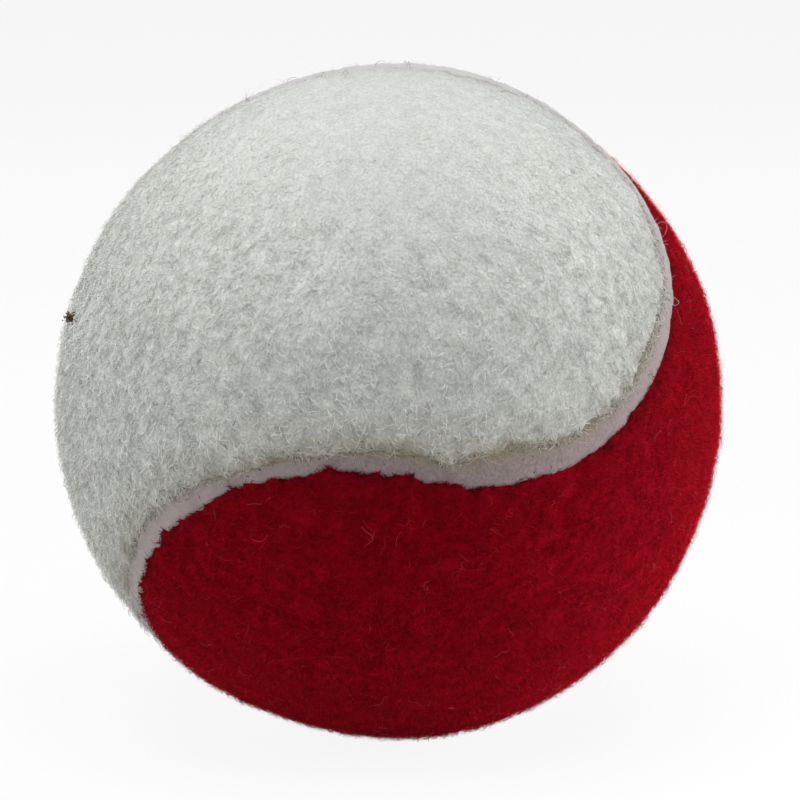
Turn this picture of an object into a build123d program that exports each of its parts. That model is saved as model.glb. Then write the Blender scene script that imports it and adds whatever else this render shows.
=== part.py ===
from build123d import *

import math
import os

# A two-colour tennis ball: two rubber half-shells bonded into a hollow core, two interlocking
# dumbbell-shaped felt panels bonded on that core, and the rubber seam between the panels.
# Origin at the ball's centre, +Z up, millimetres. The seam crosses the Y and Z axes. The waist of
# the white panel faces -X and the waist of the red panel faces +X.

# Driving dimensions
ball_diameter = 67.0
felt_thickness = 3.3
felt_edge_radius = 0.6
panel_cement_thickness = 0.2
core_wall = 3.3
core_bond_thickness = 0.3
core_bead_radius = 0.8
seam_width = 2.0
seam_recess = 0.5
seam_crown = 0.15
lobe_reach_angle = 51.0
cut_overrun = 1.0

# Radii of the layers, from the felt inwards
ball_radius = ball_diameter / 2
panel_bed_radius = ball_radius - felt_thickness
core_radius = panel_bed_radius - panel_cement_thickness
cavity_radius = core_radius - core_wall
seam_top_radius = ball_radius - seam_recess

# The seam's centre line is four equal circle arcs on the sphere, each one round the end of a felt
# lobe. It crosses the Y and Z axes, and each arc reaches lobe_reach_angle towards -X or +X.
reach = math.radians(lobe_reach_angle)
lobe_tilt = math.atan((math.sqrt(0.5) - math.cos(reach)) / math.sin(reach))
arc_sweep = math.pi + 2 * math.atan(math.sin(lobe_tilt))
lobe_numbers = range(4)


def lobe_side(lobe):
    """1 where a lobe's round end reaches towards +X, and -1 where it reaches towards -X."""
    return 1 if lobe % 2 else -1


def lobe_axis(lobe):
    """Unit vector from the ball's centre through the middle of a lobe's round end."""
    turn = math.radians(90 * lobe + 45)
    return Vector(
        lobe_side(lobe) * math.sin(lobe_tilt),
        math.cos(lobe_tilt) * math.cos(turn),
        math.cos(lobe_tilt) * math.sin(turn),
    )


def arc_start(lobe):
    """Unit vector to the place on the Y or Z axis where a lobe's arc starts."""
    turn = math.radians(90 * lobe)
    return Vector(0, math.cos(turn), math.sin(turn))


def seam_point(lobe, height, aside):
    """Point in the plane where a lobe's arc starts: height along the radius through the seam's
    centre line, and aside square to it, away from the lobe."""
    axis = lobe_axis(lobe)
    upward = arc_start(lobe)
    outward = (upward * upward.dot(axis) - axis).normalized()
    return upward * height + outward * aside


def sweep_axis(lobe):
    """Axis that turns a lobe's arc from its start, over its far reach, to its end."""
    return Axis((0, 0, 0), lobe_axis(lobe) * -lobe_side(lobe))


def seam_ring(inner_height, bottom_crown, outer_height, top_crown):
    """Closed ring along the whole seam, as wide as the seam, with crowned faces inside and outside."""
    ring = Part()
    half_width = seam_width / 2
    for lobe in lobe_numbers:
        low_near = seam_point(lobe, inner_height - bottom_crown, -half_width)
        low_middle = seam_point(lobe, inner_height, 0)
        low_far = seam_point(lobe, inner_height - bottom_crown, half_width)
        top_near = seam_point(lobe, outer_height - top_crown, -half_width)
        top_middle = seam_point(lobe, outer_height, 0)
        top_far = seam_point(lobe, outer_height - top_crown, half_width)
        outline = [
            Edge.make_three_point_arc(low_near, low_middle, low_far),
            Edge.make_line(low_far, top_far),
            Edge.make_three_point_arc(top_far, top_middle, top_near),
            Edge.make_line(top_near, low_near),
        ]
        profile = Face(Wire(outline))
        ring += revolve(profile, axis=sweep_axis(lobe), revolution_arc=math.degrees(arc_sweep))
    return ring


def crown_over_seam(radius):
    """How far a sphere falls away between the middle of the seam and its edge."""
    return radius - math.sqrt(radius**2 - (seam_width / 2) ** 2)


def seam_strip():
    """Rubber strip between the panels, seated on the core, with a lightly crowned top."""
    return seam_ring(core_radius, crown_over_seam(core_radius), seam_top_radius, seam_crown).solid()


def panel_layers(inner_radius, outer_radius):
    """Spherical layer with the seam cut out of it: its white-panel part, then its red-panel part."""
    poles_in_the_waists = Plane((0, 0, 0), x_dir=(0, 1, 1), z_dir=(1, 0, 0))
    ball = Solid.make_sphere(outer_radius, poles_in_the_waists)
    hollow = Solid.make_sphere(inner_radius, poles_in_the_waists)
    cut_depth = inner_radius - cut_overrun
    cut_height = outer_radius + cut_overrun
    cut = seam_ring(cut_depth, crown_over_seam(cut_depth), cut_height, crown_over_seam(cut_height))
    return (ball - hollow - cut).solids().sort_by(Axis.X)


def round_over(panel):
    """Felt panel with its outer rim rounded."""
    rim = ShapeList()
    for wall in panel.faces().filter_by(GeomType.CONE):
        rim.append(wall.edges().sort_by(lambda edge: (edge @ 0.5).length)[-1])
    return panel.fillet(felt_edge_radius, rim)


def core_shell():
    """Hollow rubber ball, before it is cut into its two halves."""
    return Sphere(core_radius) - Sphere(cavity_radius)


def core_half():
    """Upper half-shell, with its flat rim half a bond above the middle plane."""
    return split(core_shell(), Plane.XY.offset(core_bond_thickness / 2), Keep.TOP)


def core_bond_ring():
    """Cement between the two rims, with the bead that is squeezed into the cavity."""
    above = split(core_shell(), Plane.XY.offset(-core_bond_thickness / 2), Keep.TOP)
    film = split(above, Plane.XY.offset(core_bond_thickness / 2), Keep.BOTTOM)
    bead = Torus(cavity_radius, core_bead_radius) & Sphere(cavity_radius)
    return (film + bead).solid()


upper_half = core_half()
white_cement, red_cement = panel_layers(core_radius, panel_bed_radius)
white_felt, red_felt = panel_layers(panel_bed_radius, ball_radius)

nodes = {
    "core_upper_half": upper_half,
    "core_lower_half": mirror(upper_half, Plane.XY),
    "core_bond_ring": core_bond_ring(),
    "white_panel_cement": white_cement,
    "red_panel_cement": red_cement,
    "seam_strip": seam_strip(),
    "white_felt_panel": round_over(white_felt),
    "red_felt_panel": round_over(red_felt),
}

os.makedirs("parts", exist_ok=True)
for name, shape in nodes.items():
    export_step(shape, f"parts/{name}.step")
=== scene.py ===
from math import asin, atan, ceil, cos, log, pi, radians, sin, sqrt, tan
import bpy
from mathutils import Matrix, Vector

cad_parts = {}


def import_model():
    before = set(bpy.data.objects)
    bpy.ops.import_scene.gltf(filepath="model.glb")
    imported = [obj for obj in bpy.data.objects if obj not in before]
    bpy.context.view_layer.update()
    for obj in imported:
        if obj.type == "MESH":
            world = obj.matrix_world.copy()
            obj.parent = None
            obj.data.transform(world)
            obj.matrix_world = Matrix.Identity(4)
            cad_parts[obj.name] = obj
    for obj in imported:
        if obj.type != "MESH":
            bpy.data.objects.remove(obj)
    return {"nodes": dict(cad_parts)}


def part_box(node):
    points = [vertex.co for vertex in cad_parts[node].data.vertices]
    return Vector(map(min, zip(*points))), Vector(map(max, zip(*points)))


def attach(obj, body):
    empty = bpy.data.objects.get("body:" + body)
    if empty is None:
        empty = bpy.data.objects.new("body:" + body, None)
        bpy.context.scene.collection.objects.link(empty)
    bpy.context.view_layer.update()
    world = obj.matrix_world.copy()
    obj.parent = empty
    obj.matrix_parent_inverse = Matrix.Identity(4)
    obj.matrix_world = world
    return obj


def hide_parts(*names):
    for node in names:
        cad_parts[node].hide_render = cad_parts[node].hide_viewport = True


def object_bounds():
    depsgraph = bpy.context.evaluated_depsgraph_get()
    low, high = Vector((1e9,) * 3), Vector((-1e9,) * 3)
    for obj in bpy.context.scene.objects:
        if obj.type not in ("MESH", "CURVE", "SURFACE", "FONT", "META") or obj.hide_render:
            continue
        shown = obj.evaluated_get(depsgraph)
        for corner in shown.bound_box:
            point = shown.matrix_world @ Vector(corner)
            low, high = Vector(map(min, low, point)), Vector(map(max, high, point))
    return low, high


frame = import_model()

from types import SimpleNamespace as Group

import bmesh
import bpy
import numpy as np
from mathutils import Matrix, Vector

cad_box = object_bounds()

# A white and red tennis ball: two felt panels with a nap of curled fibres, the rubber seam between
# them, and the stray hairs and grime of a ball that has been played with. Metres throughout.

MM = 0.001
RNG = np.random.default_rng(67)
BALL_CENTRE = (0.0, 0.0, 0.0)
scene = bpy.context.scene


def mm(*sizes):
    """Sizes in millimetres, as metres."""
    return tuple(size * MM for size in sizes)


# Sizes that the frame gives
ball_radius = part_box("red_felt_panel")[1][0]
bed_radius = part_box("red_panel_cement")[1][0]
core_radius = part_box("core_upper_half")[1][2]
seam_top_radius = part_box("seam_strip")[1][2]
floor_height = cad_box[0][2]

# The photograph's view of the ball, in pixels of its 800 by 800 frame
PHOTO_SIDE_PX = 800
BALL_CENTRE_PX = (389.8, 401.2)
BALL_RADIUS_PX = 335.7
VIEW_AZIMUTH = radians(-2.42)
VIEW_ELEVATION = radians(11.13)
CAMERA_DISTANCE = 0.285
CAMERA_CLIPS = (0.01, 20.0)
SENSOR_MM = 36.0

view_back = np.array([
    sin(VIEW_AZIMUTH) * cos(VIEW_ELEVATION),
    -cos(VIEW_AZIMUTH) * cos(VIEW_ELEVATION),
    sin(VIEW_ELEVATION),
])
view_right = np.array([cos(VIEW_AZIMUTH), sin(VIEW_AZIMUTH), 0.0])
view_up = np.cross(view_back, view_right)
outline_slope = tan(asin(ball_radius / CAMERA_DISTANCE))


# Small helpers

def unit(vectors):
    """Vectors scaled to length one."""
    return vectors / np.linalg.norm(vectors, axis=-1, keepdims=True)


def between(limits, count):
    """Random values between two limits, or zeros if there are none."""
    return RNG.uniform(*limits, count) if limits else np.zeros(count)


def on_ball(pixel):
    """Unit vector to what the photograph shows at a pixel."""
    x = (pixel[0] - BALL_CENTRE_PX[0]) / BALL_RADIUS_PX * outline_slope
    y = (BALL_CENTRE_PX[1] - pixel[1]) / BALL_RADIUS_PX * outline_slope
    eye = view_back * CAMERA_DISTANCE
    ray = unit(view_right * x + view_up * y - view_back)
    nearest = -eye.dot(ray)
    half_chord = sqrt(max(0.0, ball_radius**2 - eye.dot(eye) + nearest**2))
    return unit(eye + ray * (nearest - half_chord))


def spot(pixel, reach_degrees, **sizes):
    """A place on the ball, by its pixel, with its reach and its sizes."""
    return Group(middle=on_ball(pixel), reach=radians(reach_degrees), **sizes)


def near(points, place):
    """How near unit vectors lie to a place: 1 in its middle, fading to 0 past its reach."""
    angle = np.arccos(np.clip(points @ place.middle, -1.0, 1.0))
    return np.exp(-(angle / place.reach) ** 2)


def gathered(points, places, label):
    """Sum of one size of several places, each fading past its reach."""
    return sum(getattr(place, label) * near(points, place) for place in places)


def ripple(wave_lengths, waves=64):
    """A smooth random height over space, about one in size, of waves between two lengths."""
    lengths = np.exp(RNG.uniform(*map(log, wave_lengths), waves))
    vectors = unit(RNG.normal(size=(waves, 3))) * (2 * pi / lengths)[:, None]
    phases = RNG.uniform(0, 2 * pi, waves)

    def height(points):
        return np.cos(points @ vectors.T + phases).sum(axis=1) * sqrt(2 / waves)

    return height


# The seam's course over the ball: four equal arcs, each round the end of a felt lobe

LOBE_COUNT = 4
LOBE_REACH = radians(51.0)
SWEEP_OVERLAP_SHARE = 1.0001
LEAST_SINE = 1e-6
SEAM_WIDTH = 2.0 * MM
SEAM_STEP = 0.4 * MM

lobe_tilt = atan((sqrt(0.5) - cos(LOBE_REACH)) / sin(LOBE_REACH))
lobe_angle = LOBE_REACH - lobe_tilt
half_sweep = pi / 2 + atan(sin(lobe_tilt))
lobe_length = 2 * half_sweep * ball_radius * sin(lobe_angle)

# For each lobe: the sign of the felt round it, 1 for white and -1 for red, the way that its end points,
# its axis, the way that it reaches, and the way that its arc runs, which is the next lobe's spoke
lobe_numbers = np.arange(LOBE_COUNT)
lobe_signs = 1 - 2 * (lobe_numbers % 2)
lobe_turns = 2 * pi * (lobe_numbers + 0.5) / LOBE_COUNT
lobe_ends = np.outer(-lobe_signs, (1.0, 0.0, 0.0))
lobe_spokes = np.stack([np.zeros(LOBE_COUNT), np.cos(lobe_turns), np.sin(lobe_turns)], axis=1)
lobe_axes = lobe_ends * sin(lobe_tilt) + lobe_spokes * cos(lobe_tilt)
lobe_reaches = lobe_ends * cos(lobe_tilt) - lobe_spokes * sin(lobe_tilt)
lobe_runs = np.roll(lobe_spokes, -1, axis=0)


def seam_place(points):
    """For unit vectors: metres from the seam's centre line, positive on the white side; metres
    along it; and the unit tangents to its white side."""
    cosines = np.clip(points @ lobe_axes.T, -1.0, 1.0)
    sweeps = np.arctan2(points @ lobe_runs.T, points @ lobe_reaches.T)
    gaps = np.abs(np.arccos(cosines) - lobe_angle)
    gaps[np.abs(sweeps) > half_sweep * SWEEP_OVERLAP_SHARE] = np.inf
    lobe = gaps.argmin(axis=1)
    rows = np.arange(len(points))
    cosine, sweep, sign = cosines[rows, lobe], sweeps[rows, lobe], lobe_signs[lobe]
    angle = np.arccos(cosine)
    offset = sign * (angle - lobe_angle) * ball_radius
    station = (lobe + (sweep / half_sweep + 1) / 2) * lobe_length
    away = points * cosine[:, None] - lobe_axes[lobe]
    return offset, station, away * (sign / np.maximum(np.sin(angle), LEAST_SINE))[:, None]


def seam_stations():
    """Unit vectors along the seam's centre line, and the unit tangents to its white side."""
    sweep = np.linspace(-half_sweep, half_sweep, round(lobe_length / SEAM_STEP), endpoint=False)
    centres, whiteward = [], []
    for axis, reach, run, sign in zip(lobe_axes, lobe_reaches, lobe_runs, lobe_signs):
        round_axis = np.outer(np.cos(sweep), reach) + np.outer(np.sin(sweep), run)
        centres.append(axis * cos(lobe_angle) + round_axis * sin(lobe_angle))
        whiteward.append(sign * (round_axis * cos(lobe_angle) - axis * sin(lobe_angle)))
    return np.concatenate(centres), np.concatenate(whiteward)


# The two felt panels and the fibres that grow on them

NAP_HABIT = dict(
    lengths=mm(0.7, 1.9), radius_shares=(0.7, 1.25), bend=0.9, curl=0.35,
    arches=mm(0.10, 0.36), steps=5,
)
HAIR_HABIT = dict(
    radius_shares=(0.8, 1.2), bend=1.6, curl=0.9,
    arches=mm(0.05, 0.30), tips=mm(0.0, 0.40), steps=18,
)
white = Group(
    name="white", side=1, edge_radius=0.55 * MM, ragged=0.16 * MM, overhang=0.55 * MM, crest=0.12 * MM,
    comb=np.array([0.1, 0.0, -1.0]), comb_spread=0.75, upper_radius_share=1.5,
    nap=Group(radius=0.028 * MM, tips=mm(0.0, 0.45), **NAP_HABIT),
    fuzz=Group(lengths=mm(0.30, 1.15), radius=0.017 * MM, sway=1.1, tooth_share=0.3),
    frost=Group(per_mm2=2.5, lengths=mm(0.40, 0.68), radius=0.018 * MM, tilt=0.35),
    hairs=Group(count=110, lengths=mm(1.5, 4.5), radius=0.018 * MM, **HAIR_HABIT),
)
red = Group(
    name="red", side=-1, edge_radius=0.35 * MM, ragged=0.18 * MM, overhang=0.0, crest=-0.75 * MM,
    comb=np.array([-0.8, 0.0, -0.5]), comb_spread=1.1, upper_radius_share=0.9,
    nap=Group(radius=0.030 * MM, tips=mm(0.0, 0.40), **NAP_HABIT),
    fuzz=Group(lengths=mm(0.14, 0.34), radius=0.055 * MM, sway=0.3, tooth_share=0.8),
    frost=Group(per_mm2=22.0, lengths=mm(0.50, 0.95), radius=0.008 * MM, tilt=0.30),
    hairs=Group(count=600, lengths=mm(0.9, 3.0), radius=0.019 * MM, **HAIR_HABIT),
)
panels = (white, red)


# The felt's own unevenness

RIM_WAVES = mm(0.8, 6.0)
RIM_TEETH = mm(0.5, 1.2)
BROAD_LUMPS = mm(9.0, 24.0)
BROAD_LUMP_SIZE = 0.06 * MM
TUFT_LUMPS = mm(1.6, 4.5)
TUFT_LUMP_SIZE = 0.05 * MM
COMB_WAVES = mm(14.0, 45.0)
SOIL_WAVES = mm(8.0, 30.0)
NAP_DEPTH = 0.45 * MM
NAP_SINK = 0.12 * MM
WORN = spot((390, 100), 45)
WORN_SHARE = 0.75
CREST = spot((470, 78), 40)
SWELLS = (
    spot((722, 408), 24, height=-0.28 * MM),
    spot((604, 144), 18, height=-0.22 * MM),
    spot((500, 718), 26, height=0.40 * MM),
    spot((400, 66), 35, height=0.30 * MM),
)
EDGE_SHIFTS = (
    spot((140, 585), 18, white=1.10 * MM, red=-0.70 * MM),
    spot((250, 487), 9, white=0.60 * MM, red=0.60 * MM),
    spot((330, 468), 8, white=-0.25 * MM, red=0.55 * MM),
    spot((395, 476), 7, white=-0.45 * MM, red=0.50 * MM),
    spot((515, 475), 5, white=-0.60 * MM, red=-0.35 * MM),
    spot((600, 438), 12, white=0.60 * MM, red=-0.80 * MM),
    spot((668, 260), 26, white=0.70 * MM, red=0.0),
)
NOTCHES = (
    Group(pixel=(478, 493), depth=0.50 * MM, steep=0.45 * MM, gentle=1.6 * MM),
    Group(pixel=(357, 482), depth=0.50 * MM, steep=1.50 * MM, gentle=2.0 * MM),
    Group(pixel=(523, 484), depth=0.40 * MM, steep=0.90 * MM, gentle=3.0 * MM),
)
SOIL = spot((330, 480), 70)
SOIL_SHARE = 0.9
SOIL_WAVE_SHARE = 0.2
LEAST_SOIL_SHARE = 0.05
SOIL_FADE = 1.3 * MM
SMEAR = spot((440, 66), 50)
SMEAR_FADE = 1.6 * MM

rim_waves = {panel.name: ripple(RIM_WAVES) for panel in panels}
rim_teeth = ripple(RIM_TEETH)
broad_lumps = ripple(BROAD_LUMPS)
tuft_lumps = ripple(TUFT_LUMPS)
comb_waves = [ripple(COMB_WAVES) for axis in "xyz"]
soil_waves = ripple(SOIL_WAVES)


def fluff(points):
    """How far the nap stands up, as a share: less where the felt is matted by wear."""
    return 1 - WORN_SHARE * near(points, WORN)


def notched(station):
    """How far the red rim steps back from the seam where its cut is stepped."""
    total = np.zeros(len(station))
    for notch in NOTCHES:
        start = seam_place(on_ball(notch.pixel)[None, :])[1][0]
        past = (station - start) / np.where(station < start, -notch.steep, notch.gentle)
        total = total + notch.depth * np.maximum(1 - past, 0.0)
    return total


def rim_depth(panel, points):
    """Depths inside the line where a panel's rim starts to round over, and unit tangents inwards."""
    offset, station, whiteward = seam_place(points)
    ragged = panel.ragged * rim_waves[panel.name](points * ball_radius)
    if panel is red:
        ragged = ragged + notched(station)
    depth = panel.side * offset - SEAM_WIDTH / 2 - panel.edge_radius - ragged
    return depth + gathered(points, EDGE_SHIFTS, panel.name), panel.side * whiteward


def seam_shift(points):
    """How far the seam wanders to its white side, and how much narrower each half of it is."""
    white_creep, red_creep = (gathered(points, EDGE_SHIFTS, panel.name) for panel in panels)
    return (red_creep - white_creep) / 2, (red_creep + white_creep) / 2


def swell(points):
    """How far the ball stands out of round."""
    return gathered(points, SWELLS, "height")


def nap_top(panel, points):
    """Radius over a panel's nap. At the top, the white edge stands over the red one."""
    return ball_radius - NAP_SINK + swell(points) + panel.crest * near(points, CREST)


def felt_height(panel, points, depth):
    """Radius of the felt under the nap, with its lumps and its rounded rim."""
    places = points * ball_radius
    lumps = BROAD_LUMP_SIZE * broad_lumps(places) + TUFT_LUMP_SIZE * tuft_lumps(places)
    over = np.clip(-depth, 0.0, panel.edge_radius)
    drop = panel.edge_radius - np.sqrt(panel.edge_radius**2 - over**2)
    return nap_top(panel, points) - NAP_DEPTH * fluff(points) + lumps - drop


def wear(points, depth):
    """How soiled, smeared with rubber and matted the felt is, from 0 to 1."""
    inside = np.maximum(depth, 0.0)
    soil = SOIL_SHARE * near(points, SOIL) + SOIL_WAVE_SHARE * soil_waves(points * ball_radius)
    return {
        "soil": np.clip(soil, LEAST_SOIL_SHARE, 1.0) * np.exp(-inside / SOIL_FADE),
        "smear": near(points, SMEAR) * np.exp(-inside / SMEAR_FADE),
        "matted": near(points, WORN),
    }


# Meshes from arrays

def placed(name, data):
    """A new object in the scene."""
    thing = bpy.data.objects.new(name, data)
    scene.collection.objects.link(thing)
    return thing


def new_piece(name, corners, triangles, attributes, bake_map=None):
    """A smooth mesh object from arrays, riding on the ball, with values per corner."""
    mesh = bpy.data.meshes.new(name)
    mesh.vertices.add(len(corners))
    mesh.vertices.foreach_set("co", corners.astype(np.float32).ravel())
    mesh.loops.add(triangles.size)
    mesh.loops.foreach_set("vertex_index", triangles.astype(np.int32).ravel())
    mesh.polygons.add(len(triangles))
    mesh.polygons.foreach_set("loop_start", np.arange(0, triangles.size, 3, dtype=np.int32))
    mesh.polygons.foreach_set("use_smooth", np.ones(len(triangles), dtype=bool))
    mesh.update(calc_edges=True)
    for label, values in attributes.items():
        layer = mesh.attributes.new(label, "FLOAT", "POINT")
        layer.data.foreach_set("value", values.astype(np.float32))
    if bake_map is not None:
        layer = mesh.uv_layers.new(name="OFBake")
        layer.uv.foreach_set("vector", bake_map.astype(np.float32).ravel())
    piece = placed(name, mesh)
    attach(piece, "root")
    return piece


# Felt bodies

SPHERE_SUBDIVISIONS = 7
FINE_BAND = 3.0 * MM
RIM_PASSES = 4
EAR_PASSES = 3
RIM_STEPS = 4
UNDERSIDE = {"soil": 1.0, "smear": 0.0, "matted": 0.0}


def geodesic_sphere():
    """Unit vectors and triangles of an even sphere, with finer triangles beside the seam."""
    sphere = bmesh.new()
    bmesh.ops.create_icosphere(sphere, subdivisions=SPHERE_SUBDIVISIONS, radius=1.0)
    points = unit(np.array([corner.co for corner in sphere.verts]))
    beside = np.abs(seam_place(points)[0]) < FINE_BAND
    fine = [edge for edge in sphere.edges if all(beside[corner.index] for corner in edge.verts)]
    bmesh.ops.subdivide_edges(sphere, edges=fine, cuts=1, use_grid_fill=True)
    bmesh.ops.triangulate(sphere, faces=sphere.faces[:])
    sphere.verts.index_update()
    points = np.array([corner.co for corner in sphere.verts])
    triangles = np.array([[corner.index for corner in face.verts] for face in sphere.faces])
    sphere.free()
    return unit(points), triangles


def edges_of(triangles):
    """The corners of each triangle's three edges, in the triangle's own direction."""
    return triangles[:, [[0, 1], [1, 2], [2, 0]]].reshape(-1, 2)


def cut_panel(panel, points, triangles):
    """The part of the sphere inside a panel's rim line, with the nearest corners moved on to it."""
    points = points.copy()
    depth, inward = rim_depth(panel, points)
    edges = edges_of(triangles)
    first, second = edges[edges[:, 0] < edges[:, 1]].T
    crossed = depth[first] * depth[second] < 0
    first, second = first[crossed], second[crossed]
    moved = np.unique(np.where(np.abs(depth[first]) < np.abs(depth[second]), first, second))
    for attempt in range(RIM_PASSES):
        gap, inward = rim_depth(panel, points[moved])
        points[moved] = unit(points[moved] - inward * (gap / ball_radius)[:, None])
    depth[moved] = 0.0
    inside = (depth[triangles] >= 0).all(axis=1)
    all_moved = (depth[triangles] == 0).all(axis=1)
    middles = unit(points[triangles].mean(axis=1))
    inside &= ~all_moved | (rim_depth(panel, middles)[0] > 0)
    kept = without_ears(triangles[inside], depth == 0)
    used, kept = np.unique(kept, return_inverse=True)
    return points[used], kept.reshape(-1, 3)


def without_ears(triangles, on_rim):
    """Triangles without those that hang on the rim by a corner or by one edge alone."""
    for attempt in range(EAR_PASSES):
        sides = np.sort(edges_of(triangles), axis=1)
        _, numbers, counts = np.unique(sides, axis=0, return_inverse=True, return_counts=True)
        neighbours = (counts[numbers.ravel()].reshape(-1, 3) == 2).sum(axis=1)
        ear = on_rim[triangles].all(axis=1) & (neighbours < 2)
        triangles = triangles[~ear]
    return triangles


def rim_loop(triangles):
    """The open edge of a panel as one ordered loop of corners."""
    pairs = {(int(a), int(b)) for a, b in edges_of(triangles)}
    following = {a: b for a, b in pairs if (b, a) not in pairs}
    start = min(following)
    loop = [start]
    while following[loop[-1]] != start:
        loop.append(following[loop[-1]])
    if len(loop) != len(following):
        raise ValueError("the rim is not one loop")
    return np.array(loop)


def band(lower, upper):
    """Triangles between two closed rings of corners that run the same way."""
    next_lower, next_upper = np.roll(lower, -1), np.roll(upper, -1)
    return np.concatenate([
        np.stack([lower, next_upper, next_lower], axis=1),
        np.stack([lower, upper, next_upper], axis=1),
    ])


def felt_body(panel, sphere):
    """A panel's felt as one closed mesh, and the line where its rim starts to round over."""
    points, top = cut_panel(panel, *sphere)
    depth, inward = rim_depth(panel, points)
    depth = np.maximum(depth, 0.0)
    loop = rim_loop(top)
    count = len(points)
    height = felt_height(panel, points, depth)
    rim = Group(points=points[loop], inward=inward[loop], heights=height[loop])
    turns = np.linspace(0, pi / 2, RIM_STEPS + 1)[1:]
    outs = [panel.edge_radius * sin(turn) for turn in turns] + [panel.edge_radius]
    radii = [rim.heights - panel.edge_radius * (1 - cos(turn)) for turn in turns]
    radii.append(np.full(len(loop), bed_radius))
    corners, triangles, ring, start = [points * height[:, None]], [top], loop, count
    for out, radius in zip(outs, radii):
        corners.append(unit(rim.points - rim.inward * (out / ball_radius)) * radius[:, None])
        next_ring = start + np.arange(len(loop))
        triangles.append(band(ring, next_ring))
        ring = next_ring
        start += len(loop)
    corners.append(points * bed_radius)
    triangles += [band(ring, start + loop), top[:, ::-1] + start]
    attributes = {
        label: np.concatenate([value] + [value[loop]] * len(outs) + [np.full(count, UNDERSIDE[label])])
        for label, value in wear(points, depth).items()
    }
    name = f"{panel.name}_felt"
    return new_piece(name, np.concatenate(corners), np.concatenate(triangles), attributes), rim


# Fibres

CURL_WAVES = 1.6
ROOT_SINK = 0.12 * MM
TANGENT_SPREAD = 0.8
FINE_RADIUS_SHARES = (0.7, 1.3)
TUFT_STEPS = 4

# Each fibre is a tapering tube, unwrapped into its own square of the bake map
TUBE_SIDES = 3
TAPER_SHARE = 0.55
CAP_SHARES = ((0.02, 0.0), (0.30, 0.0), (0.16, 0.06))
STRIP_START_SHARE = 0.08
STRIP_GAP_SHARE = 0.02
MAP_MARGIN_SHARE = 0.06


def walk(lengths, bends, curls, steps):
    """Strand centre lines in a complex plane: they set out along its real axis and turn."""
    along = np.linspace(0, 1, steps)[:-1]
    phases = RNG.uniform(0, 2 * pi, len(lengths))[:, None]
    waves = np.sin(2 * pi * CURL_WAVES * along + phases) - np.sin(phases)
    strides = np.exp(1j * (bends[:, None] * along + curls[:, None] * waves)) * lengths[:, None] / (steps - 1)
    return np.concatenate([np.zeros((len(lengths), 1)), np.cumsum(strides, axis=1)], axis=1)


def strands(roots, heights, headings, lengths, kind, lift=1.0):
    """Centre lines of strands of one kind, which bend, curl, arch over the felt and end at a tip."""
    count = len(roots)
    bends, curls = RNG.normal(0, kind.bend, count), RNG.normal(0, kind.curl, count)
    arches, tips = between(kind.arches, count) * lift, between(kind.tips, count) * lift
    path = walk(lengths, bends, curls, kind.steps)[..., None]
    along = np.linspace(0, 1, kind.steps)
    shift = headings[:, None, :] * path.real + np.cross(roots, headings)[:, None, :] * path.imag
    ground = unit(roots[:, None, :] + shift / ball_radius)
    rise = -ROOT_SINK + arches[:, None] * 4 * along * (1 - along) + tips[:, None] * along
    return ground * (heights[:, None] + rise)[..., None]


def tufts(roots, ways, bends, lengths, steps):
    """Centre lines of free strands: each leaves its root one way and bends as it goes."""
    along = np.linspace(0, 1, steps)[None, :, None]
    shift = ways[:, None, :] * along + bends[:, None, :] * along**2
    return roots[:, None, :] + lengths[:, None, None] * shift


def tube_template(steps):
    """Triangles of one tube that closes in a tip, and their places in a unit square of the bake map."""
    tip = TUBE_SIDES * (steps - 1)
    rows = np.linspace(STRIP_START_SHARE, 1, steps)
    triangles, places = [(0, 1, 2)], [CAP_SHARES]
    for step, side in np.ndindex(steps - 1, TUBE_SIDES):
        low, high = rows[step], rows[step + 1]
        left, right = side / TUBE_SIDES + STRIP_GAP_SHARE, (side + 1) / TUBE_SIDES - STRIP_GAP_SHARE
        here, beside = TUBE_SIDES * step + side, TUBE_SIDES * step + (side + 1) % TUBE_SIDES
        if step == steps - 2:
            triangles.append((here, tip, beside))
            places.append(((left, low), ((left + right) / 2, high), (right, low)))
            continue
        triangles.append((here, beside + TUBE_SIDES, beside))
        places.append(((left, low), (right, high), (right, low)))
        triangles.append((here, here + TUBE_SIDES, beside + TUBE_SIDES))
        places.append(((left, low), (left, high), (right, high)))
    return np.array(triangles), np.array(places)


def tube_piece(name, paths, radii, values):
    """Tapering tubes along paths as one mesh piece, with values per strand."""
    count, steps = paths.shape[:2]
    along = np.linspace(0, 1, steps)
    ways = unit(np.gradient(paths, axis=1))
    aside = unit(np.cross(ways, unit(paths)))
    above = np.cross(aside, ways)
    thickness = radii[:, None] * (1 - TAPER_SHARE * along)
    turns = (pi / 2 + np.arange(TUBE_SIDES) * 2 * pi / TUBE_SIDES)[:, None]
    sides = aside[:, :, None] * np.cos(turns) + above[:, :, None] * np.sin(turns)
    tubes = paths[:, :, None] + sides * thickness[..., None, None]
    tubes = tubes[:, :-1].reshape(count, -1, 3)
    corners = np.concatenate([tubes, paths[:, -1:]], axis=1)
    template, places = tube_template(steps)
    per_strand = corners.shape[1]
    triangles = template[None] + (np.arange(count) * per_strand)[:, None, None]
    grid = ceil(sqrt(count))
    cells = np.stack([np.arange(count) % grid, np.arange(count) // grid], axis=1)
    squares = MAP_MARGIN_SHARE + (1 - 2 * MAP_MARGIN_SHARE) * places
    bake_map = (cells[:, None, None, :] + squares) / grid
    attributes = {"along": np.tile(np.append(np.repeat(along[:-1], TUBE_SIDES), 1.0), count)}
    for label, value in values.items():
        attributes[label] = np.repeat(value, per_strand)
    return new_piece(name, corners.reshape(-1, 3), triangles.reshape(-1, 3), attributes, bake_map)


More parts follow.
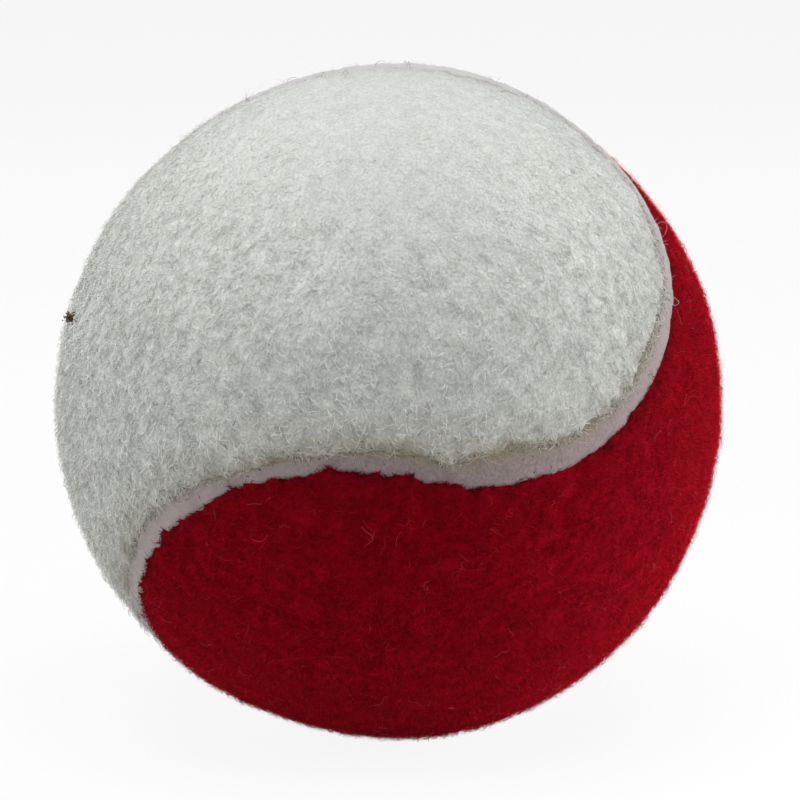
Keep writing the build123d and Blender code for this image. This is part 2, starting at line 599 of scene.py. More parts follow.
def in_pieces(panel, label, order, limit, paths, radii, values):
    """A panel's strands as numbered pieces of limited size, taken in an order."""
    pieces = []
    for number, chosen in enumerate(np.array_split(order, ceil(len(order) / limit))):
        chosen_values = {value_label: value[chosen] for value_label, value in values.items()}
        name = f"{panel.name}_{label}_{number + 1}"
        pieces.append(tube_piece(name, paths[chosen], radii[chosen], chosen_values))
    return pieces


def tangents(roots):
    """Random tangents at places on the ball, about one in size."""
    ways = RNG.normal(0, TANGENT_SPREAD, (len(roots), 3))
    return ways - roots * (ways * roots).sum(axis=1, keepdims=True)


def lying(name, roots, heights, kind):
    """A piece of strands of one kind that lie on the ball, each heading its own way."""
    count = len(roots)
    headings = unit(tangents(roots))
    paths = strands(roots, heights, headings, between(kind.lengths, count), kind)
    tint = RNG.random(count)
    return tube_piece(name, paths, kind.radius * between(kind.radius_shares, count), {"tint": tint})


def scattered(panel, count_per_mm2, least_depth):
    """Random places on a panel, with their depths and inward tangents."""
    area_mm2 = 4 * pi * (ball_radius / MM) ** 2
    roots = unit(RNG.normal(size=(int(count_per_mm2 * area_mm2), 3)))
    depth, inward = rim_depth(panel, roots)
    inside = depth > least_depth
    return roots[inside], depth[inside], inward[inside]


# The nap

NAP_PER_MM2 = 10.0
NAP_PIECE_STRANDS = 9000
RIM_NAP_SHARE = 0.97
COMB_DRIFT_SHARE = 0.4
# Strands with a tint over this stand higher and thicker; the white nap's colours paint them bright as
# painted light and the low strands darker as painted shade.
UPPER_TINT = 0.60
UPPER_LENGTH_SHARE = 0.80
UPPER_LIFT_SHARE = 1.5
MATTED_THINNING_SHARE = 0.55
MATTED_BARE_SHARE = 0.80
ALONG_RIM_SHARE = 0.5
RIM_TURN_SHARE = 0.95
LEAST_OUTWARD_SHARE = 0.05
LEAST_NAP = 0.3 * MM


def combed(panel, roots):
    """Unit tangents along which the nap lies, wandering over the ball."""
    places = roots * ball_radius
    drift = np.stack([wave(places) for wave in comb_waves], axis=1)
    way = panel.comb + COMB_DRIFT_SHARE * drift
    return unit(way - roots * (way * roots).sum(axis=1, keepdims=True))


def turned(roots, headings, angles):
    """Tangents turned by angles about their roots."""
    return headings * np.cos(angles)[:, None] + np.cross(roots, headings) * np.sin(angles)[:, None]


def fitted_to_rim(panel, headings, lengths, depth, inward):
    """Headings and lengths that keep strands from hanging too far over the seam."""
    inwards = (headings * inward).sum(axis=1)
    limit = -panel.edge_radius - panel.overhang * RNG.random(len(headings))
    crossing = depth + inwards * lengths < limit
    along_rim = RNG.random(len(headings)) < ALONG_RIM_SHARE
    room = (limit - depth) / np.minimum(inwards, -LEAST_OUTWARD_SHARE)
    shortened = np.clip(room, LEAST_NAP, lengths)
    turned_along = unit(headings - RIM_TURN_SHARE * inwards[:, None] * inward)
    headings = np.where((crossing & along_rim)[:, None], turned_along, headings)
    return headings, np.where(crossing & ~along_rim, shortened, lengths)


def nap(panel):
    """The panel's nap: short curved strands all over it."""
    roots, depth, inward = scattered(panel, NAP_PER_MM2, -RIM_NAP_SHARE * panel.edge_radius)
    kept = RNG.random(len(roots)) > MATTED_BARE_SHARE * near(roots, WORN)
    roots, depth, inward = roots[kept], depth[kept], inward[kept]
    count = len(roots)
    tint = RNG.random(count)
    upper = tint > UPPER_TINT
    lengths = between(panel.nap.lengths, count) * np.where(upper, UPPER_LENGTH_SHARE, 1.0)
    headings = turned(roots, combed(panel, roots), RNG.normal(0, panel.comb_spread, count))
    headings, lengths = fitted_to_rim(panel, headings, lengths, depth, inward)
    lift = fluff(roots) * np.where(upper, UPPER_LIFT_SHARE, 1.0)
    paths = strands(roots, felt_height(panel, roots, depth), headings, lengths, panel.nap, lift)
    values = {"tint": tint, **wear(roots, depth)}
    radii = panel.nap.radius * between(panel.nap.radius_shares, count)
    radii = radii * np.where(upper, panel.upper_radius_share, 1.0)
    radii = radii * (1 - MATTED_THINNING_SHARE * values["matted"])
    order = np.argsort(np.arctan2(roots[:, 1], roots[:, 2]), kind="stable")
    return in_pieces(panel, "nap", order, NAP_PIECE_STRANDS, paths, radii, values)


# Fuzz on the rims

FUZZ_PER_MM = 28
FUZZ_TURNS = (0.1, 1.5)
FUZZ_SINK = 0.06 * MM
FUZZ_SPREAD = 0.3
FUZZ_BEND = 0.6
FUZZ_DROOPS = (0.0, 0.5)
FUZZ_CLEAN_SHARE = 0.55
TOOTH_SHARES = (0.4, 2.0)


def rim_fuzz(panel, rim):
    """Short strands that grow out of a panel's rounded rim and its cut edge."""
    count = int(FUZZ_PER_MM * LOBE_COUNT * lobe_length / MM)
    line = np.column_stack([rim.points, rim.inward, rim.heights])
    first, share = RNG.integers(0, len(line), count), RNG.random(count)[:, None]
    line = line[first] * (1 - share) + line[(first + 1) % len(line)] * share
    points, inward, heights = unit(line[:, :3]), line[:, 3:6], line[:, 6]
    turn = between(FUZZ_TURNS, count)
    places = unit(points - inward * (panel.edge_radius / ball_radius * np.sin(turn))[:, None])
    starts = heights - panel.edge_radius * (1 - np.cos(turn)) - FUZZ_SINK
    outward = points * np.cos(turn)[:, None] - inward * np.sin(turn)[:, None]
    run = np.cross(points, inward)
    sway = run * RNG.normal(0, panel.fuzz.sway, count)[:, None]
    ways = unit(outward + sway + points * RNG.normal(0, FUZZ_SPREAD, count)[:, None])
    bends = run * RNG.normal(0, FUZZ_BEND, count)[:, None] - points * between(FUZZ_DROOPS, count)[:, None]
    teeth = np.clip(1 + panel.fuzz.tooth_share * rim_teeth(points * ball_radius), *TOOTH_SHARES)
    lengths = between(panel.fuzz.lengths, count) * teeth
    paths = tufts(places * starts[:, None], ways, bends, lengths, TUFT_STEPS)
    values = {"tint": RNG.random(count), **wear(points, np.zeros(count))}
    values["soil"] = values["soil"] * (1 - FUZZ_CLEAN_SHARE * (1 - turn / FUZZ_TURNS[1]))
    radii = panel.fuzz.radius * between(FINE_RADIUS_SHARES, count)
    return tube_piece(f"{panel.name}_rim_fuzz", paths, radii, values)


# Fine strands and stray hairs over the nap

FROST_SINK = 0.05 * MM
FROST_INSET = 0.6 * MM
FROST_BEND = 0.1
FROST_STEPS = 2
FROST_PIECE_STRANDS = 45000
MATTED_FROST_SHARE = 0.7
HAIR_PLACES_PER_MM2 = 1.0
HAIR_INSET = 1.5 * MM
HAIR_LIFT = 0.35 * MM


def frost(panel):
    """Fine strands that stand up out of the nap and catch the light."""
    roots, depth, inward = scattered(panel, panel.frost.per_mm2, FROST_INSET)
    count = len(roots)
    ways = unit(roots + panel.frost.tilt * tangents(roots))
    starts = roots * (felt_height(panel, roots, depth) - FROST_SINK)[:, None]
    lengths = between(panel.frost.lengths, count) * (1 - MATTED_FROST_SHARE * (1 - fluff(roots)))
    paths = tufts(starts, ways, FROST_BEND * tangents(roots), lengths, FROST_STEPS)
    radii = panel.frost.radius * between(FINE_RADIUS_SHARES, count)
    values = {"tint": RNG.random(count)}
    order = np.argsort(roots[:, 0], kind="stable")
    return in_pieces(panel, "frost", order, FROST_PIECE_STRANDS, paths, radii, values)


def stray_hairs(panel):
    """Single long curling hairs that lie on the nap."""
    roots, depth, inward = scattered(panel, HAIR_PLACES_PER_MM2, HAIR_INSET)
    roots, depth = roots[:panel.hairs.count], depth[:panel.hairs.count]
    heights = felt_height(panel, roots, depth) + HAIR_LIFT
    return lying(f"{panel.name}_stray_hairs", roots, heights, panel.hairs)


# What has caught in the felt

LINT_PX = (
    (180, 380), (158, 403), (231, 426), (97, 402), (172, 467), (376, 160), (300, 452), (150, 521),
    (155, 500), (325, 452), (540, 447), (407, 472), (537, 471), (418, 436), (209, 473), (184, 501),
)
HIDDEN_LINT_COUNT = 14
LINT = Group(
    lengths=mm(0.35, 0.95), radius=0.030 * MM, radius_shares=(0.7, 1.6), bend=0.8, curl=0.4,
    arches=mm(0.10, 0.25), tips=mm(0.0, 0.2), steps=5,
)
# The stretch of the seam, along its front, where its rubber is darker and dark grit lies.
DARK_STRETCH = spot((500, 482), 60)
DARK_STRETCH_SHARE = 0.25
SPECKS = Group(
    count=150, offsets=mm(0.7, 2.2), lift=0.30 * MM, slope=0.10, lengths=mm(0.12, 0.30),
    radius=0.030 * MM, radius_shares=(0.8, 2.2), bend=0.8, curl=0.4, arches=None, tips=None, steps=5,
)
BURR = Group(
    pixel=(71, 318), count=130, lift=0.05 * MM, size=0.24 * MM, lengths=mm(0.10, 0.22),
    radius=0.085 * MM, lean=0.2, bend=0.9,
)
CAUGHT_HAIRS_PX = {
    "white": (
        ((648, 233), (654, 227), (661, 221), (667, 224), (666, 232), (660, 241)),
        ((664, 286), (672, 296), (680, 302), (676, 306), (668, 303)),
        ((640, 205), (648, 214), (652, 226), (649, 238)),
    ),
    "red": (
        ((343, 659), (331, 654), (318, 656), (300, 658), (279, 658), (268, 663), (257, 656), (251, 645),
         (247, 637), (254, 631), (266, 625)),
        ((258, 612), (259, 604), (266, 610), (275, 614), (280, 620), (276, 624), (264, 622)),
        ((363, 671), (374, 674), (389, 671)),
    ),
    "dark": (
        ((109, 538), (111, 546), (122, 545), (128, 553), (136, 562)), ((129, 587), (135, 597), (141, 606)),
        ((137, 601), (143, 606), (146, 613)), ((144, 614), (149, 622), (151, 633)),
        ((214, 511), (216, 516), (215, 520)), ((375, 69), (380, 66), (385, 63)),
        ((404, 64), (406, 67), (407, 71)), ((408, 65), (409, 69), (410, 72)),
        ((342, 78), (347, 74), (349, 78), (345, 80)), ((288, 84), (293, 81), (300, 82)),
        ((322, 79), (325, 76), (327, 79)), ((500, 94), (508, 95), (518, 99)),
        ((561, 117), (565, 120), (566, 123)), ((598, 145), (601, 148), (603, 152)),
        ((669, 292), (674, 299), (678, 303)), ((664, 296), (669, 300), (672, 303)),
        ((666, 299), (670, 301), (675, 302)),
    ),
}
CAUGHT_RADII = {"white": 0.013 * MM, "red": 0.015 * MM, "dark": 0.022 * MM}
CAUGHT_STEPS = 18
CAUGHT_SMOOTHINGS = 2
CAUGHT_RISE = 0.20 * MM
CAUGHT_END_POWER = 8
CAUGHT_TINTS = (0.3, 1.0)


def lint():
    """Short dark bits of lint: those in the photograph, and some all round."""
    seen = np.array([on_ball(pixel) for pixel in LINT_PX])
    roots = np.concatenate([seen, unit(RNG.normal(size=(HIDDEN_LINT_COUNT, 3)) - view_back)])
    return lying("dark_lint", roots, nap_top(white, roots), LINT)


def seam_specks():
    """Dark grit in the darker stretch of the seam, along the white felt."""
    centres, whiteward = seam_stations()
    chosen = RNG.choice(np.flatnonzero(near(centres, DARK_STRETCH) > DARK_STRETCH_SHARE), SPECKS.count)
    offsets = between(SPECKS.offsets, SPECKS.count) + seam_shift(centres[chosen])[0]
    roots = unit(centres[chosen] + whiteward[chosen] * (offsets / ball_radius)[:, None])
    heights = seam_top_radius + SPECKS.lift + SPECKS.slope * offsets
    return lying("seam_specks", roots, heights, SPECKS)


def burr():
    """A small brown burr that clings to the nap."""
    middle = on_ball(BURR.pixel)
    ways = unit(RNG.normal(size=(BURR.count, 3)) + BURR.lean * middle)
    starts = middle * (ball_radius + BURR.lift) + BURR.size * RNG.normal(size=(BURR.count, 3))
    bends = BURR.bend * RNG.normal(size=(BURR.count, 3))
    paths = tufts(starts, ways, bends, between(BURR.lengths, BURR.count), TUFT_STEPS)
    values = {"tint": RNG.random(BURR.count)}
    radii = BURR.radius * between(FINE_RADIUS_SHARES, BURR.count)
    return tube_piece("burr", paths, radii, values)


def caught_hairs(name, panel):
    """Long hairs that lie on the felt along routes that the photograph shows."""
    rise = CAUGHT_RISE * (1 - np.linspace(1, -1, CAUGHT_STEPS) ** CAUGHT_END_POWER)
    paths = []
    for route in CAUGHT_HAIRS_PX[name]:
        points = np.array([on_ball(pixel) for pixel in route])
        spaced = np.linspace(0, len(points) - 1, CAUGHT_STEPS)
        line = np.stack([np.interp(spaced, range(len(points)), values) for values in points.T], axis=1)
        for smoothing in range(CAUGHT_SMOOTHINGS):
            line[1:-1] = (line[:-2] + 2 * line[1:-1] + line[2:]) / 4
        line = unit(line)
        paths.append(line * (nap_top(panel, line) + rise)[:, None])
    radii = np.full(len(paths), CAUGHT_RADII[name])
    values = {"tint": between(CAUGHT_TINTS, len(paths))}
    return tube_piece(f"{name}_caught_hairs", np.array(paths), radii, values)


# Seam

SEAM_TUCK = 0.7 * MM
SEAM_CROWN = 0.05 * MM
SEAM_LEAN = 0.15 * MM
SEAM_TOP_RISE = 0.55 * MM
SEAM_DIP = 0.35 * MM
SEAM_DIP_START_SHARE = 0.50
SEAM_ACROSS_STEPS = 15
SEAM_LUMPS = mm(0.8, 4.0)
SEAM_LUMP_SIZE = 0.05 * MM
SEAM_PORES = mm(0.35, 0.9)
SEAM_PORE_SIZE = 0.008 * MM


def seam_bead():
    """The rubber seam: one closed strip with an uneven crowned top, tucked under both rims."""
    centres, whiteward = seam_stations()
    drift, squeeze = seam_shift(centres)
    half = SEAM_WIDTH / 2 + SEAM_TUCK - squeeze
    lumps, pores = ripple(SEAM_LUMPS), ripple(SEAM_PORES)
    across = [*np.linspace(-1, 1, SEAM_ACROSS_STEPS), 1, -1]
    rings = []
    for number, share in enumerate(across):
        aside = share * half + drift
        height = np.sqrt(core_radius**2 - aside**2)
        if number < SEAM_ACROSS_STEPS:
            line = unit(centres + whiteward * aside[:, None] / ball_radius)
            spots, crest = line * ball_radius, near(line, CREST)
            tucked = max(0.0, (abs(share) - SEAM_DIP_START_SHARE) / (1 - SEAM_DIP_START_SHARE))
            height = seam_top_radius - SEAM_CROWN * share**2 + SEAM_LEAN * share + swell(line)
            height = height - SEAM_DIP * tucked * (1 - crest if share > 0 else 1) + SEAM_TOP_RISE * crest
            height = height + SEAM_LUMP_SIZE * lumps(spots) + SEAM_PORE_SIZE * pores(spots)
        rings.append(centres * height[:, None] + whiteward * aside[:, None])
    count = len(centres)
    indices = [np.arange(count) + number * count for number in range(len(rings))]
    triangles = [band(indices[n], indices[(n + 1) % len(rings)]) for n in range(len(rings))]
    attributes = {
        "across": np.repeat(across, count),
        "dark_stretch": np.tile(near(centres, DARK_STRETCH), len(rings)),
        "smear": np.tile(near(centres, SMEAR), len(rings)),
    }
    name = "seam_rubber"
    return new_piece(name, np.concatenate(rings), np.concatenate(triangles), attributes)


# Node materials

BLACK = (0.0, 0.0, 0.0)
WHITE = (1.0, 1.0, 1.0)

# Sizes of the patches of colour on each surface, and the size and depth of its fine relief
SOIL_PATCH = 2.5 * MM
NAP_CLUMP = 0.9 * MM
RED_NAP_CLUMP = 3.5 * MM
WHITE_CLUMP = 1.2 * MM
WHITE_GRAIN = 0.26 * MM
RED_CLUMP = 1.6 * MM
FELT_RELIEF = mm(0.25, 0.15)
RUBBER_CLOUD = 0.5 * MM
RUBBER_DARK_PATCH = 0.3 * MM
CREASE_PATCH = 2.2 * MM
RUBBER_SPECK = 0.40 * MM
RUBBER_RELIEF = mm(0.3, 0.1)
CORE_CLOUD = 3.0 * MM
CORE_RELIEF = mm(0.4, 0.05)
CEMENT_CLOUD = 2.0 * MM
CEMENT_RELIEF = mm(0.8, 0.05)


def grey(level):
    """An even grey."""
    return (level, level, level)


def put(tree, socket, value):
    """Links an output to a socket, or sets the socket's own value."""
    if isinstance(value, bpy.types.NodeSocket):
        tree.links.new(value, socket)
    elif socket.type == "RGBA":
        socket.default_value = (*value, 1.0)
    else:
        socket.default_value = value


def new_material(name, roughness, gloss=0.5):
    """A material with one principled shader."""
    material = bpy.data.materials.new(name)
    material.use_nodes = True
    tree = material.node_tree
    shader = tree.nodes["Principled BSDF"]
    put(tree, shader.inputs["Roughness"], roughness)
    put(tree, shader.inputs["Specular IOR Level"], gloss)
    return material, tree, shader


def node(tree, kind, output, inputs, **settings):
    """Adds a node with its settings and inputs, and gives one of its outputs."""
    added = tree.nodes.new(f"ShaderNode{kind}")
    for label, value in settings.items():
        setattr(added, label, value)
    for label, value in inputs.items():
        put(tree, added.inputs[label], value)
    return added.outputs[output]


def attribute(tree, name):
    """A named value of the mesh."""
    return node(tree, "Attribute", "Fac", {}, attribute_name=name)


def noise(tree, size, detail=3.0):
    """Cloudy noise in the ball's own frame, with patches of about one size."""
    places = node(tree, "TexCoord", "Object", {})
    return node(tree, "TexNoise", "Fac", {"Vector": places, "Scale": 1 / size, "Detail": detail})


def ramp(tree, factor, *stops):
    """A colour for each value of a factor, through stops of place and colour."""
    added = tree.nodes.new("ShaderNodeValToRGB")
    elements = added.color_ramp.elements
    elements[0].position, elements[0].color = stops[0][0], (*stops[0][1], 1.0)
    elements[1].position, elements[1].color = stops[-1][0], (*stops[-1][1], 1.0)
    for place, colour in stops[1:-1]:
        elements.new(place).color = (*colour, 1.0)
    put(tree, added.inputs["Fac"], factor)
    return added.outputs["Color"]


def patches(tree, size, low, high, spread=0.2, detail=3.0):
    """Patches of about one size between two colours, crisp where the spread is small."""
    return ramp(tree, noise(tree, size, detail), (0.5 - spread, low), (0.5 + spread, high))


def mixed(tree, factor, first, second, blend="MIX"):
    """Two colours mixed by a factor."""
    return node(tree, "Mix", 2, {0: factor, 6: first, 7: second}, data_type="RGBA", blend_type=blend)


def shaded(tree, colour, shade, factor=1.0):
    """A colour multiplied by a shade, as far as a factor says."""
    return mixed(tree, factor, colour, shade, "MULTIPLY")


def joined(tree, operation, first, second):
    """Two values joined by a math operation."""
    return node(tree, "Math", "Value", {0: first, 1: second}, operation=operation)


def finish(tree, shader, colour, relief, strength):
    """Gives a shader its colour, and fine relief of a size and a depth."""
    size, depth = relief
    relief_inputs = {"Strength": strength, "Distance": depth, "Height": noise(tree, size)}
    put(tree, shader.inputs["Base Color"], colour)
    put(tree, shader.inputs["Normal"], node(tree, "Bump", "Normal", relief_inputs))


def soiled(tree, colour, soil_colour, strength=1.0):
    """A felt colour with patchy soil where the mesh says that it is soiled."""
    amount = joined(tree, "MULTIPLY", attribute(tree, "soil"), strength)
    amount = joined(tree, "MULTIPLY", amount, patches(tree, SOIL_PATCH, grey(0.5), grey(1.1), spread=0.15))
    return mixed(tree, amount, colour, soil_colour)


def white_felt_material():
    """Off-white felt under the nap, darker than the fibres as painted shade in the depth of the pile, paler
    and smoother where it is matted.
    """
    material, tree, shader = new_material("white_felt_base", roughness=0.95, gloss=0.15)
    matted = attribute(tree, "matted")
    # Painted shade: loose felt is darker than the nap above it, as shade deep in the pile; pressed felt is
    # paler.
    loose = patches(tree, WHITE_CLUMP, (0.48, 0.49, 0.46), (0.62, 0.63, 0.60))
    pressed = patches(tree, WHITE_CLUMP, (0.65, 0.67, 0.63), (0.73, 0.75, 0.71))
    colour = mixed(tree, matted, loose, pressed)
    grain = patches(tree, WHITE_GRAIN, grey(0.84), grey(1.12), spread=0.14)
    colour = shaded(tree, colour, grain, ramp(tree, matted, (0.5, WHITE), (1.0, grey(0.65))))
    colour = mixed(tree, attribute(tree, "smear"), colour, (0.60, 0.58, 0.62))
    colour = soiled(tree, colour, (0.26, 0.22, 0.14), strength=0.8)
    finish(tree, shader, colour, FELT_RELIEF, strength=0.6)
    return material


def red_felt_material():
    """Crimson felt under the nap, darker than the fibres as painted shade in the depth of the pile."""
    material, tree, shader = new_material("red_felt_base", roughness=0.95, gloss=0.05)
    # Painted shade: darker than the red nap, as shade under the fibres.
    colour = patches(tree, RED_CLUMP, (0.185, 0.0004, 0.004), (0.24, 0.0006, 0.008))
    colour = soiled(tree, colour, (0.08, 0.001, 0.003), strength=0.5)
    finish(tree, shader, colour, FELT_RELIEF, strength=0.6)
    return material


def nap_material(
    name, gloss, *stops, painted_root_shade=WHITE, soil_colour=None, matted_stops=None, smear_colour=None,
    clump_size=NAP_CLUMP, clump_shade=0.84,
):
    """Fibres of differing colours, which can be matted, smeared or soiled, with painted shade that darkens
    them towards the root.
    """
    material, tree, shader = new_material(name, roughness=0.65, gloss=gloss)
    colour = ramp(tree, attribute(tree, "tint"), *stops)
    if matted_stops:
        matted = ramp(tree, attribute(tree, "tint"), *matted_stops)
        colour = mixed(tree, attribute(tree, "matted"), colour, matted)
    colour = shaded(tree, colour, patches(tree, clump_size, grey(clump_shade), WHITE))
    if smear_colour:
        colour = mixed(tree, attribute(tree, "smear"), colour, smear_colour)
    # Painted shade: each fibre darkens from its root, deep in the pile where shade falls, up to 0.7 of its
    # length.
    colour = shaded(tree, colour, ramp(tree, attribute(tree, "along"), (0.0, painted_root_shade), (0.7, WHITE)))
    if soil_colour:
        colour = soiled(tree, colour, soil_colour)
    put(tree, shader.inputs["Base Color"], colour)
    return material


def white_nap_material():
    """Off-white fibres, soiled beside the seam, with painted light on the lifted upper strands and painted
    shade on the low ones, over random tone; paler where matted.
    """
    return nap_material(
        # Painted light and shade: tints over 0.6 mark the lifted upper strands, painted bright; the low
        # strands below them are painted darker.
        "white_nap", 0.35, (0.0, (0.475, 0.485, 0.46)), (0.58, (0.68, 0.69, 0.66)),
        (0.64, (0.85, 0.86, 0.835)), (1.0, (0.95, 0.96, 0.94)),
        matted_stops=(
            (0.0, (0.67, 0.69, 0.65)), (0.72, (0.73, 0.75, 0.71)), (0.80, (0.88, 0.90, 0.86)),
            (1.0, (0.96, 0.97, 0.94)),
        ),
        painted_root_shade=(0.94, 0.94, 0.93), soil_colour=(0.36, 0.32, 0.22), smear_colour=(0.66, 0.65, 0.67),
    )


def red_nap_material():
    """Crimson fibres, in broad darker and paler clumps."""
    return nap_material(
        "red_nap", 0.03,
        (0.0, (0.295, 0.0006, 0.008)), (0.85, (0.335, 0.0012, 0.012)), (1.0, (0.41, 0.016, 0.025)),
        painted_root_shade=grey(0.84), soil_colour=(0.08, 0.001, 0.004), clump_size=RED_NAP_CLUMP, clump_shade=0.72,
    )


def white_frost_material():
    """Fine pale strands over the white felt."""
    return nap_material(
        "white_frost", 0.3, (0.0, (0.84, 0.85, 0.83)), (1.0, (0.96, 0.97, 0.95)), painted_root_shade=grey(0.8),
    )


def red_frost_material():
    """Fine strands over the red felt: most are bright red, and a few are pink."""
    return nap_material(
        "red_frost", 0.02,
        (0.0, (0.80, 0.003, 0.016)), (0.96, (0.95, 0.010, 0.030)), (1.0, (0.95, 0.18, 0.22)),
        painted_root_shade=(0.6, 0.4, 0.4),
    )


def red_hair_material():
    """Long hairs on the red felt, from red to pink."""
    return nap_material(
        "red_hairs", 0.0,
        (0.0, (0.55, 0.010, 0.020)), (0.7, (0.62, 0.04, 0.05)), (1.0, (0.70, 0.12, 0.14)),
        painted_root_shade=grey(0.9),
    )


def lint_material():
    """Nearly black lint."""
    return nap_material("lint", 0.3, (0.0, (0.03, 0.028, 0.03)), (1.0, (0.12, 0.11, 0.12)))


def burr_material():
    """Dry brown plant fibres."""
    return nap_material(
        "burr_fibres", 0.3, (0.0, (0.025, 0.016, 0.010)), (1.0, (0.20, 0.12, 0.06)), painted_root_shade=grey(0.6),
    )


def seam_material():
    """Pinkish-grey rubber, chalky at the top and darker along a stretch at the front, with olive grime and
    painted shade in the crease beside the white felt.
    """
    material, tree, shader = new_material("seam_rubber_dusty", roughness=0.8, gloss=0.3)
    dark_stretch = attribute(tree, "dark_stretch")
    clean = patches(tree, RUBBER_CLOUD, (0.35, 0.31, 0.30), (0.41, 0.367, 0.355), detail=5.0)
    # Darker rubber along the front stretch of the seam.
    darker_patches = patches(
        tree, RUBBER_DARK_PATCH, (0.178, 0.139, 0.135), (0.262, 0.212, 0.206), spread=0.18, detail=5.0
    )
    colour = mixed(tree, attribute(tree, "smear"), clean, (0.75, 0.745, 0.75))
    colour = mixed(tree, dark_stretch, colour, darker_patches)
    # Olive grime and painted shade in the crease: towards the white side of the seam, in patches, along its
    # darker stretch.
    crease_grime_and_shade = ramp(tree, attribute(tree, "across"), (0.1, BLACK), (0.7, grey(0.8)))
    crease_grime_and_shade = shaded(tree, crease_grime_and_shade, patches(tree, CREASE_PATCH, grey(0.5), WHITE, spread=0.15))
    crease_grime_and_shade = shaded(tree, crease_grime_and_shade, dark_stretch)
    colour = mixed(tree, crease_grime_and_shade, colour, (0.24, 0.20, 0.13))
    specks = ramp(tree, noise(tree, RUBBER_SPECK, detail=2.0), (0.70, BLACK), (0.74, WHITE))
    colour = mixed(tree, specks, colour, (0.05, 0.04, 0.035))
    finish(tree, shader, colour, RUBBER_RELIEF, strength=0.35)
    return material


def core_rubber_material():
    """Matt black moulded rubber of the core."""
    material, tree, shader = new_material("core_rubber", roughness=0.75)
    colour = patches(tree, CORE_CLOUD, (0.016, 0.016, 0.017), (0.035, 0.034, 0.034))
    finish(tree, shader, colour, CORE_RELIEF, strength=0.3)
    return material


def cement_material():
    """Amber film of cured cement, uneven where it was brushed on."""
    material, tree, shader = new_material("cured_cement", roughness=0.45)
    colour = patches(tree, CEMENT_CLOUD, (0.36, 0.24, 0.10), (0.55, 0.40, 0.20))
    finish(tree, shader, colour, CEMENT_RELIEF, strength=0.4)
    return material


# The stage

FLOOR_HALF_SIDE = 4.0
FLOOR_SHADE = 0.90
FLOOR_WHITE_SHARE = 0.90
WORLD_LEVEL = 0.06

# Each soft light: its place, what it faces, the side of its square and its watts
LIGHTS = {
    "key_top": ((0.0, -0.25, 0.70), BALL_CENTRE, 0.6, 4.4),
    "side_left": ((-0.70, 0.0, 0.25), BALL_CENTRE, 0.5, 3.2),
    "side_right": ((0.70, 0.0, 0.16), BALL_CENTRE, 0.40, 3.0),
    "floor_right": ((0.12, -0.06, 0.01), (0.12, -0.06, floor_height), 0.10, 0.12),
}


def white_to_the_eye(tree, surface, share, output):
    """Ends a tree with a surface that has plain white for camera, glossy and transmission rays only."""
    rays = tree.nodes.new("ShaderNodeLightPath")
    seen = joined(tree, "MAXIMUM", rays.outputs["Is Camera Ray"], rays.outputs["Is Glossy Ray"])
    seen = joined(tree, "MAXIMUM", seen, rays.outputs["Is Transmission Ray"])
    glow = node(tree, "Emission", "Emission", {"Color": WHITE})
    factor = joined(tree, "MULTIPLY", seen, share)
    shown = node(tree, "MixShader", "Shader", {0: factor, 1: surface, 2: glow})
    put(tree, tree.nodes[output].inputs["Surface"], shown)


def floor():
    """Plain pale floor that keeps the ball's soft shadow."""
    side = FLOOR_HALF_SIDE
    mesh = bpy.data.meshes.new("floor")
    corners = [(-side, -side, 0), (side, -side, 0), (side, side, 0), (-side, side, 0)]
    mesh.from_pydata(corners, [], [(0, 1, 2, 3)])
    plane = placed("floor", mesh)
    plane.location.z = floor_height
    material, tree, shader = new_material("pale_floor", roughness=0.95)
    put(tree, shader.inputs["Base Color"], grey(FLOOR_SHADE))
    white_to_the_eye(tree, shader.outputs["BSDF"], FLOOR_WHITE_SHARE, "Material Output")
    mesh.materials.append(material)


def world():
    """Even soft light, with a white background where nothing stands."""
    space = bpy.data.worlds.new("studio")
    space.use_nodes = True
    scene.world = space
    tree = space.node_tree
    surround = tree.nodes["Background"]
    put(tree, surround.inputs["Color"], WHITE)
    put(tree, surround.inputs["Strength"], WORLD_LEVEL)
    white_to_the_eye(tree, surround.outputs["Background"], 1.0, "World Output")


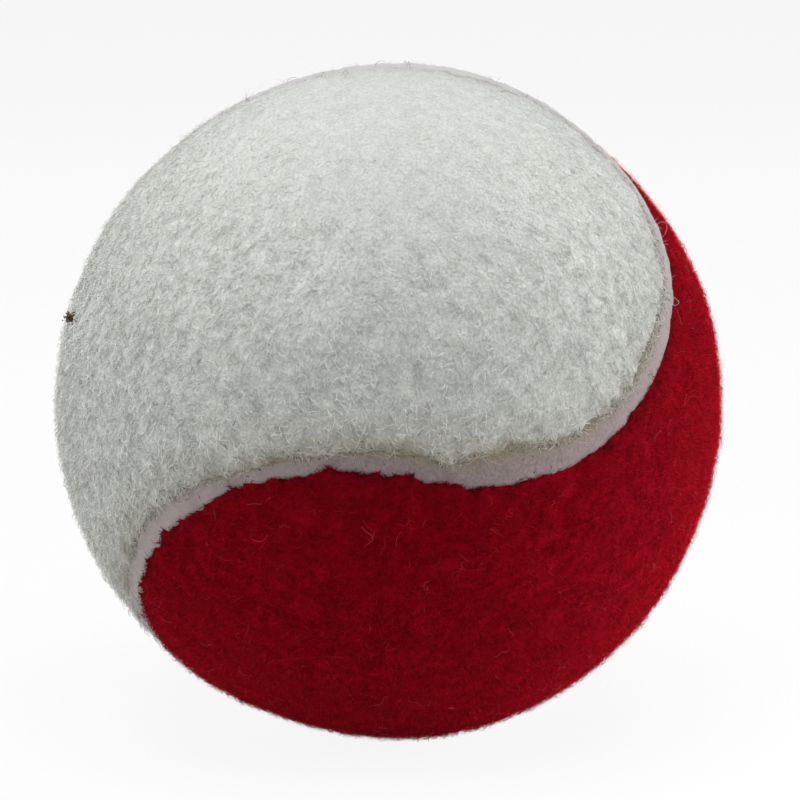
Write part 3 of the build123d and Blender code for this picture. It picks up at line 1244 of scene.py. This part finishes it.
def softbox(name, place, target, side, watts):
    """A square soft light that faces a target."""
    lamp = bpy.data.lights.new(name, "AREA")
    lamp.shape = "SQUARE"
    lamp.size = side
    lamp.energy = watts
    box = placed(name, lamp)
    box.location = place
    box.rotation_euler = (Vector(place) - Vector(target)).to_track_quat("Z", "Y").to_euler()


def camera():
    """The camera, at the photograph's angle and framing."""
    lens = bpy.data.cameras.new("camera")
    lens.sensor_width = SENSOR_MM
    lens.lens = SENSOR_MM * BALL_RADIUS_PX / (PHOTO_SIDE_PX * outline_slope)
    lens.shift_x = (PHOTO_SIDE_PX / 2 - BALL_CENTRE_PX[0]) / PHOTO_SIDE_PX
    lens.shift_y = (BALL_CENTRE_PX[1] - PHOTO_SIDE_PX / 2) / PHOTO_SIDE_PX
    lens.clip_start, lens.clip_end = CAMERA_CLIPS
    eye = placed("camera", lens)
    turn = Matrix((view_right, view_up, view_back)).transposed().to_4x4()
    eye.matrix_world = Matrix.Translation(Vector(view_back * CAMERA_DISTANCE)) @ turn
    scene.camera = eye


# Building


def dress(material, *pieces):
    """Gives pieces their one material."""
    for piece in pieces:
        piece.data.materials.clear()
        piece.data.materials.append(material)


sphere = geodesic_sphere()
finishes = (
    (white_felt_material(), white_nap_material(), white_frost_material(), white_frost_material()),
    (red_felt_material(), red_nap_material(), red_frost_material(), red_hair_material()),
)
for panel, (base_finish, nap_finish, frost_finish, hair_finish) in zip(panels, finishes):
    body, rim = felt_body(panel, sphere)
    fibres = nap(panel) + [rim_fuzz(panel, rim)]
    standing, hairs = frost(panel), stray_hairs(panel)
    caught = caught_hairs(panel.name, panel)
    dress(base_finish, body)
    dress(nap_finish, *fibres)
    dress(frost_finish, *standing)
    dress(hair_finish, hairs, caught)
    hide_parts(f"{panel.name}_felt_panel")

dark_hairs = caught_hairs("dark", white)
dress(lint_material(), lint(), dark_hairs, seam_specks())
dress(burr_material(), burr())
seam = seam_bead()
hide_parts("seam_strip")
dress(seam_material(), seam)
nodes = frame["nodes"]
dress(core_rubber_material(), nodes["core_upper_half"], nodes["core_lower_half"])
dress(cement_material(), nodes["core_bond_ring"], nodes["white_panel_cement"], nodes["red_panel_cement"])

floor()
world()
for name, light in LIGHTS.items():
    softbox(name, *light)
camera()
scene.view_settings.view_transform = "Standard"
